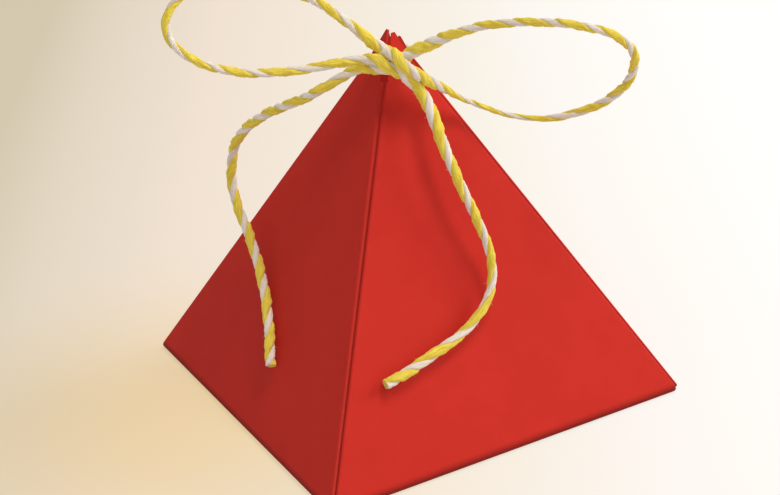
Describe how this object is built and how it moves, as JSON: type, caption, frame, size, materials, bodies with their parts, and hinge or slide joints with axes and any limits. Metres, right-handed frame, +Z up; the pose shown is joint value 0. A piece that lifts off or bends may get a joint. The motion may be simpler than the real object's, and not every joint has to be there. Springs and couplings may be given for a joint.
{
  "type": "pyramid gift box",
  "caption": "Small square-based pyramid gift box folded from thin card, laced through holes near its tip and tied shut with a bow of twisted twine.",
  "frame": {"origin": "under the middle of the square base, on the surface that the box stands on", "axes": "+Z up through the tip; X and Y along the edges of the base, so that the four panels face -Y, -X, +Y and +X; the bow is tied over the corner between the -Y and the -X panel"},
  "size_m": [0.0722, 0.0696, 0.0782],
  "materials": {
    "card": "matte red cardstock, 0.3 mm, dyed right through",
    "twine": "two-ply cotton twine, one yellow strand and one white strand"
  },
  "bodies": {
    "root": {"folded_card": "card", "twine": "twine"}
  },
  "joints": []
}
